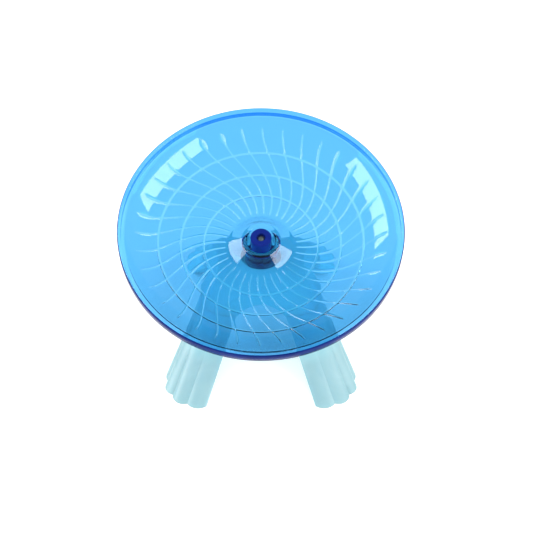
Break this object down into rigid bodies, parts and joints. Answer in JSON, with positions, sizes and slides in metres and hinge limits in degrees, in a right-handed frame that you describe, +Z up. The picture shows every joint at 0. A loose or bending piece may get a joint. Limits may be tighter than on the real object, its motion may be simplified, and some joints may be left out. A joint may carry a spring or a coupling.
{
  "type": "hamster saucer wheel",
  "caption": "Tilted, ribbed saucer wheel for a hamster, turning on a ball bearing above a splayed stand with fluted feet.",
  "frame": {"origin": "on the floor under the middle of the saucer's rim", "axes": "+Z up, +X to the right, and the saucer's low side faces -Y"},
  "size_m": [0.18, 0.1716, 0.1105],
  "materials": {
    "saucer_plastic": "clear blue moulded plastic, polished",
    "cap_plastic": "deep blue moulded plastic, polished",
    "retainer_plastic": "dark blue moulded plastic",
    "milky_plastic": "milky pale blue moulded plastic, satin",
    "washer_plastic": "natural white nylon",
    "steel": "turned steel",
    "bearing_steel": "ground bearing steel",
    "shield_steel": "pressed steel sheet",
    "cage_steel": "pressed steel ribbon"
  },
  "bodies": {
    "stand": {"crown": "milky_plastic", "leg_front_left": "milky_plastic", "leg_front_right": "milky_plastic", "leg_rear_left": "milky_plastic", "leg_rear_right": "milky_plastic", "spindle": "steel", "thrust_washer": "washer_plastic", "bearing_inner_ring": "bearing_steel", "axle_cap": "cap_plastic"},
    "saucer_wheel": {"saucer": "saucer_plastic", "bearing_outer_ring": "bearing_steel", "bearing_shields": "shield_steel", "bearing_retainer": "retainer_plastic"},
    "ball_train": {"bearing_balls": "bearing_steel", "bearing_cage": "cage_steel"}
  },
  "joints": [
    {"name": "saucer_spin", "type": "hinge", "parent": "stand", "child": "saucer_wheel", "pos_m": [0, 0.0068, 0.0583], "axis": [0, -0.3338, 0.9426], "continuous": true},
    {"name": "ball_train_spin", "type": "hinge", "parent": "stand", "child": "ball_train", "pos_m": [0, 0.01081, 0.04699], "axis": [0, -0.3338, 0.9426], "continuous": true}
  ],
  "couplings": [
    {"joint": "ball_train_spin", "follows": "saucer_spin", "ratio": 0.6323}
  ]
}
